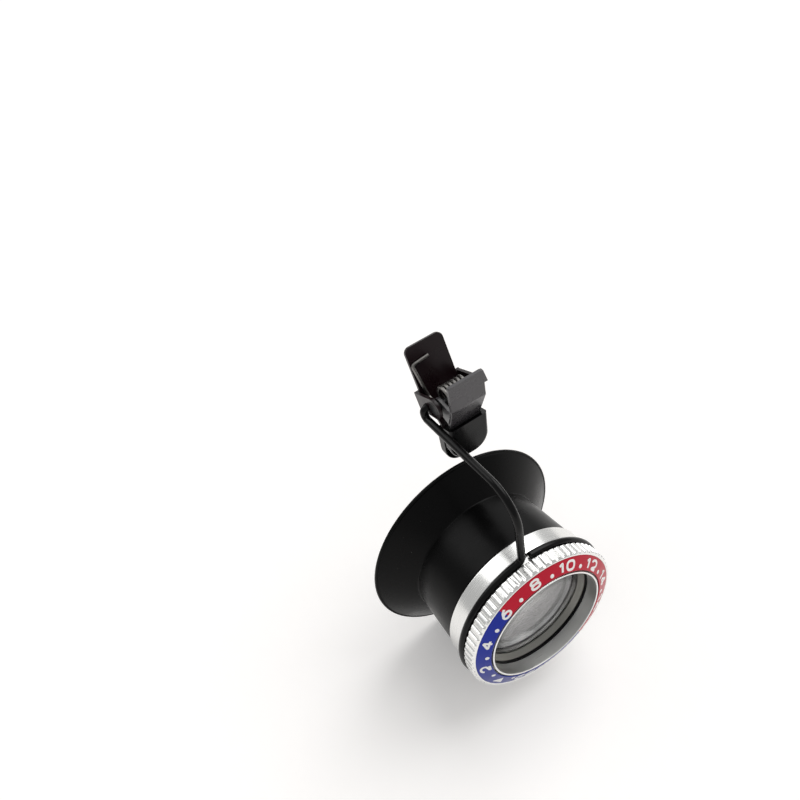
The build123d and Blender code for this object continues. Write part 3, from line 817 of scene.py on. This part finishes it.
# %% [markdown]
# ## The wire arm
# One length of 1.4 mm spring wire does three jobs. Its hooked end turns in the
# clip's ear, its strand reaches forward and down, and its other end is bent to an
# open ring that springs into the head's groove. The path is laid out as corners
# and bend radii, as a wire bender would set stops, and the round wire is carried
# along it. The black coat is thick, smooth and a little wavy.

# %% Wire arm
wire_size = 1.4
hook_end, hook_y, hook_z = -3.7, 2.6, 7.5
hook_bend, hook_run, upper_bend, lower_bend = 0.8, 0.1, 1.0, 6.3
strand_x = -5.45
ring_station, ring_radius, ring_bend, free_gap = 3.42, 14.5, 1.5, 1.0
ring_y = front_y + ring_station
top_z = hook_z - hook_bend - hook_run - upper_bend
bend_x = strand_x - axis_x - ring_bend
bend_z = math.sqrt((ring_radius + ring_bend) ** 2 - bend_x ** 2)
strand = rounded_line([
    (hook_end, hook_y, hook_z), (strand_x, hook_y, hook_z), (strand_x, hook_y, top_z),
    (strand_x, ring_y, top_z), (strand_x, ring_y, axis_z + bend_z),
], [hook_bend, upper_bend, lower_bend], False, steps=16)
meet = math.atan2(bend_z, bend_x)
turn = np.linspace(0, meet - math.pi, 14)[1:]
curl = np.stack([
    axis_x + bend_x + ring_bend * np.cos(turn), np.full(len(turn), ring_y),
    axis_z + bend_z + ring_bend * np.sin(turn),
], axis=-1)
free_x = strand_x - axis_x + wire_size / 2 + free_gap
free_end = math.pi / 2 - math.asin(free_x / ring_radius)
loop = on_loupe(ring_radius, ring_station, np.linspace(meet, 2 * math.pi + free_end, 190)[1:])
arm = wire("arm_bent_wire", np.concatenate([strand, curl, loop]), wire_size, 24, 0.35)

coated_wire, tree, shader = new_finish("Spring wire, black nylon coat", **{
    "Base Color": linear("#060606"), "IOR": 1.53, "Specular IOR Level": 0.15,
})
coat_place = millimetres(tree)
tree.links.new(wander(tree, coat_place, 1.2, 0.14, 0.26, 3.0), shader.inputs["Roughness"])
grainy(tree, shader, coat_place, 1.6, 3.0, 0.4, 0.012)
finish_piece(arm, coated_wire, "arm", "arm_wire", "wire_arm")

# %% [markdown]
# ## The torsion spring
# A little over six turns of thin wire sit on the rivet between the ears and push
# the two tabs apart. One leg lies on the rear tab and ends in a short bar, the
# other stands behind the front tab. The coil is a helix, and the legs join it
# along its own direction, so the wire has no kink. When the jaws open, the front
# leg goes with the front lever and the turns at that end of the coil wind up.

# %% Spring
pin_y, pin_z = 0.6, 8.4
spring_size, spring_turns, coil_left = 0.6, 6.25, 2.47
shank_radius, coil_play, coil_lift = 0.8, 1.1, 0.64
coil_radius = shank_radius + coil_play + spring_size / 2
spring_pitch = 2 * coil_left / spring_turns
half_sheet, sheet_play = 0.3, 0.06
tab_y, tab_z, tab_lean = 4.9, 5.1, math.radians(22.8)
leg_x, leg_length, bar_length, bar_rise = -3.55, 6.62, 3.4, 0.4
knee_run, front_leg_height, front_leg_y = 1.2, 4.6, -2.95
tiny = 0.001


def coil(turns):
    """Helix round the rivet, hung a little high: (y, z) = centre - radius (sin t, cos t)."""
    t = np.asarray(turns, float) * 2 * math.pi
    return np.stack([
        -coil_left + spring_pitch * t / (2 * math.pi),
        pin_y - coil_radius * np.sin(t), pin_z + coil_lift - coil_radius * np.cos(t),
    ], axis=-1)


def unit_vector(start, end):
    """Direction from start to end, of length 1."""
    return (end - start) / np.linalg.norm(end - start)


first, last = coil(0.0), coil(spring_turns)
first_way = unit_vector(first, coil(tiny))
last_way = unit_vector(coil(spring_turns - tiny), last)
seat_off = half_sheet + sheet_play + spring_size / 2
foot_y = tab_y + (first[2] - tab_z) * math.tan(tab_lean) - seat_off / math.cos(tab_lean)
foot = first + first_way * ((foot_y - first[1]) / first_way[1])
tip = np.array([
    leg_x, foot_y + leg_length * math.sin(tab_lean), foot[2] + leg_length * math.cos(tab_lean),
])
bar_end = tip + (bar_length, 0.0, bar_rise)
rear_leg = rounded_line([bar_end, tip, foot, first], [0.6, 1.2], False, steps=10)
front_leg = rounded_line([
    last, last + last_way * knee_run,
    (last[0], seat_off + front_leg_y, pin_z + front_leg_height),
], 0.6, False, steps=8)
turns = coil(np.linspace(0, spring_turns, 170))
spring_path = np.concatenate([rear_leg, turns[1:], front_leg[1:]])
spring = wire("spring_coil_and_legs", spring_path, spring_size, 14)
spring.data.materials.append(oiled_wire)
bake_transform(spring)
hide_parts("clip_spring")
print(f"{spring.name:24s} {len(spring.data.polygons):6d} faces, twists with jaw_hinge")

# %% [markdown]
# ## The stamped levers, the rivet and the boots
# The levers are cut and folded from 0.6 mm steel and stove enamelled black, so
# every cut edge carries a soft roll of paint that catches the light. The shapes
# in the frame are right, and what they lack is that roll. Each is copied, its
# loose triangles are merged and its edges are beveled, by less than a tenth of a
# millimetre on metal and by 0.18 mm on the boots. Normals weighted by face area
# keep the flat sheet flat.

# %% Levers, rivet and boots
def dressed_copy(node, name, width, segments=3, corner=30):
    """Copy of a node's shape with merged triangles and a fine bevel along its edges."""
    work = bmesh.new()
    work.from_mesh(nodes[node].data)
    bmesh.ops.remove_doubles(work, verts=work.verts, dist=2e-7)
    bmesh.ops.dissolve_limit(
        work, angle_limit=math.radians(0.6), verts=work.verts, edges=work.edges,
    )
    mesh = bpy.data.meshes.new(name)
    work.to_mesh(mesh)
    work.free()
    mesh.shade_smooth()
    piece = in_scene(name, mesh)
    bevel = piece.modifiers.new("Paint roll", "BEVEL")
    bevel.width = width * MM
    bevel.segments = segments
    bevel.limit_method = "ANGLE"
    bevel.angle_limit = math.radians(corner)
    flat = piece.modifiers.new("Keep flats flat", "WEIGHTED_NORMAL")
    flat.mode = "FACE_AREA"
    return piece


def enamel(name, colour, rough_low, rough_high, second=None, gloss=0.35):
    """Stove enamel on steel: paint that drifts to a second colour, with a slight orange peel."""
    material, tree, shader = new_finish(name, **{
        "IOR": 1.52, "Specular IOR Level": gloss,
        "Coat Weight": 0.15, "Coat Roughness": 0.15, "Coat IOR": 1.5,
    })
    place = millimetres(tree)
    broad = add(tree, "ShaderNodeTexNoise", {"Vector": place, "Scale": 0.45, "Detail": 4.0})
    tint = add(tree, "ShaderNodeMix", {
        "Factor": broad.outputs["Fac"], "A": linear(colour), "B": linear(second or colour),
    }, data_type="RGBA")
    tree.links.new(tint.outputs["Result"], shader.inputs["Base Color"])
    tree.links.new(wander(tree, place, 2.2, rough_low, rough_high, 4.0), shader.inputs["Roughness"])
    grainy(tree, shader, place, 1.8, 2.0, 0.4, 0.01)
    return material


rear_enamel = enamel("Stove enamel, black with a brown cast", "#13080b", 0.25, 0.4, "#190b0f", 0.2)
# The front lever's black enamel gets a mid grey base here: painted reflection of the white
# surroundings on its face.
front_enamel_painted_light = enamel("Stove enamel, black", "#403e41", 0.2, 0.34, "#484648", 0.4)
rivet_black = enamel("Rivet, blackened steel", "#232325", 0.25, 0.4)
for node, name, width, material, body, slot_name in (
    ("clip_rear_lever", "lever_rear_enamelled", 0.07, rear_enamel, "clip_frame", "clip_black"),
    ("clip_front_lever", "lever_front_enamelled", 0.07, front_enamel_painted_light, "front_lever", "clip_black"),
    ("clip_hinge_rivet", "rivet_countersunk", 0.05, rivet_black, "clip_frame", "rivet_black"),
    ("rear_jaw_boot", "boot_rear_dipped", 0.18, boot_rubber, "clip_frame", "boot_rubber"),
    ("front_jaw_boot", "boot_front_dipped", 0.18, boot_rubber, "front_lever", "boot_rubber"),
):
    finish_piece(dressed_copy(node, name, width), material, body, slot_name, node)

# %% [markdown]
# ## Floor, light and camera
# The loupe stands on white with a soft shadow, under light that comes from all
# round and a little more from above. A pale world gives the even light, and it
# is white to the eye itself, also through the lenses, so no horizon shows. One
# wide lamp gives the shadow its side. Metal shows what stands round it, so two
# large panels, seen in reflections only, whiten the band and the flutes where
# they face up. The floor is a wide disc just under the rim. Its paper gives off
# a little light of its own where it is seen, mirrored or looked at through
# glass, which keeps it white.

# %% Floor
floor_z, paper_glow = -43.07, 0.2


def floor_disc(radius=1500.0, rings=12, segments=96):
    """Flat disc: point = (r cos a, r sin a, floor), rings spaced by the square of their share."""
    r = radius * np.linspace(0, 1, rings) ** 2
    a = np.linspace(0, 2 * math.pi, segments, endpoint=False)
    points = np.stack(np.broadcast_arrays(
        r[:, None] * np.cos(a), r[:, None] * np.sin(a), floor_z + 0 * r[:, None],
    ), axis=-1)
    return points, grid_faces(rings, segments, False, True)


floor_points, floor_faces = floor_disc()
floor = make_piece("studio_floor", floor_points, floor_faces)
paper, tree, shader = new_finish("Studio paper, matt white", **{
    "Roughness": 0.9, "Specular IOR Level": 0.1, "Emission Color": linear("#ffffff"),
})
seen = seen_by(tree, "Is Camera Ray", "Is Glossy Ray", "Is Transmission Ray")
glow = add(tree, "ShaderNodeMath", {0: seen, 1: paper_glow}, operation="MULTIPLY")
tree.links.new(glow.outputs["Value"], shader.inputs["Emission Strength"])
fibre = add(tree, "ShaderNodeTexNoise", {"Vector": millimetres(tree), "Scale": 0.8, "Detail": 3.0})
tone = add(tree, "ShaderNodeMix", {
    "Factor": fibre.outputs["Fac"], "A": linear("#f5f2f0"), "B": linear("#f9f7f5"),
}, data_type="RGBA")
tree.links.new(tone.outputs["Result"], shader.inputs["Base Color"])
floor.data.materials.append(paper)
print("floor at", floor_z, "mm")

# %% Light
world_light, world_seen = 0.52, 1.0
world = bpy.data.worlds.new("White studio")
bpy.context.scene.world = world
world.use_nodes = True
sky = world.node_tree
sky.nodes.clear()
strength = add(sky, "ShaderNodeMapRange", {
    "Value": seen_by(sky, "Is Camera Ray", "Is Transmission Ray"),
    "From Min": 0.0, "From Max": 1.0, "To Min": world_light, "To Max": world_seen,
})
white = add(sky, "ShaderNodeBackground", {
    "Color": linear("#ffffff"), "Strength": strength.outputs["Result"],
})
add(sky, "ShaderNodeOutputWorld", {"Surface": white.outputs["Background"]})


def reflector(name, place, target, size, power):
    """Lit panel of a size in millimetres that only shows in reflections, turned to a target."""
    lamp = bpy.data.lights.new(name, "AREA")
    lamp.shape = "RECTANGLE"
    lamp.size, lamp.size_y = size[0] * MM, size[1] * MM
    lamp.energy = power
    holder = in_scene(name, lamp)
    holder.location = Vector(place) * MM
    holder.rotation_euler = (Vector(target) - Vector(place)).to_track_quat("-Z", "Y").to_euler()
    holder.visible_diffuse = False


def soft_sun(name, towards_light, energy, width):
    """Lamp at infinity, seen as a disc this many degrees wide: even light, soft shadows."""
    lamp = bpy.data.lights.new(name, "SUN")
    lamp.energy = energy
    lamp.angle = math.radians(width)
    holder = in_scene(name, lamp)
    holder.rotation_euler = (-Vector(towards_light)).to_track_quat("-Z", "Y").to_euler()


soft_sun("Ceiling light", (90, 10, 130), 1.55, 50)
reflector("Left panel", (-157, 304, 275), (-5, -20, -20), (260, 420), 0.55)
reflector("Right panel", (202, 284, 233), (-5, -20, -20), (360, 380), 0.34)

# %% [markdown]
# ## The camera
# The view is from above and a little to the left of the loupe's axis. The
# position and the three directions were found by matching the loupe's circles,
# whose sizes and places on the axis are known, to their ovals in the picture.

# %% Camera
lens_mm, sensor_mm = 40.65, 36.0
camera_place = (-53.6, -93.2, 114.0)
right = Vector((0.8255421, -0.5434240, -0.1522189))
up = Vector((0.4765247, 0.5267443, 0.7038925))
ahead = Vector((0.3023316, 0.6536290, -0.6938046))
camera_data = bpy.data.cameras.new("Camera")
camera_data.lens = lens_mm
camera_data.sensor_width = sensor_mm
camera_data.sensor_fit = "HORIZONTAL"
camera_data.clip_start, camera_data.clip_end = 0.005, 20  # in metres
camera = in_scene("Camera", camera_data)
facing = Matrix((right, up, -ahead)).transposed().to_4x4()
camera.matrix_world = Matrix.Translation(Vector(camera_place) * MM) @ facing
bpy.context.scene.camera = camera
bpy.context.scene.view_settings.view_transform = "Standard"
print("camera at", camera_place, "mm, lens", lens_mm, "mm")
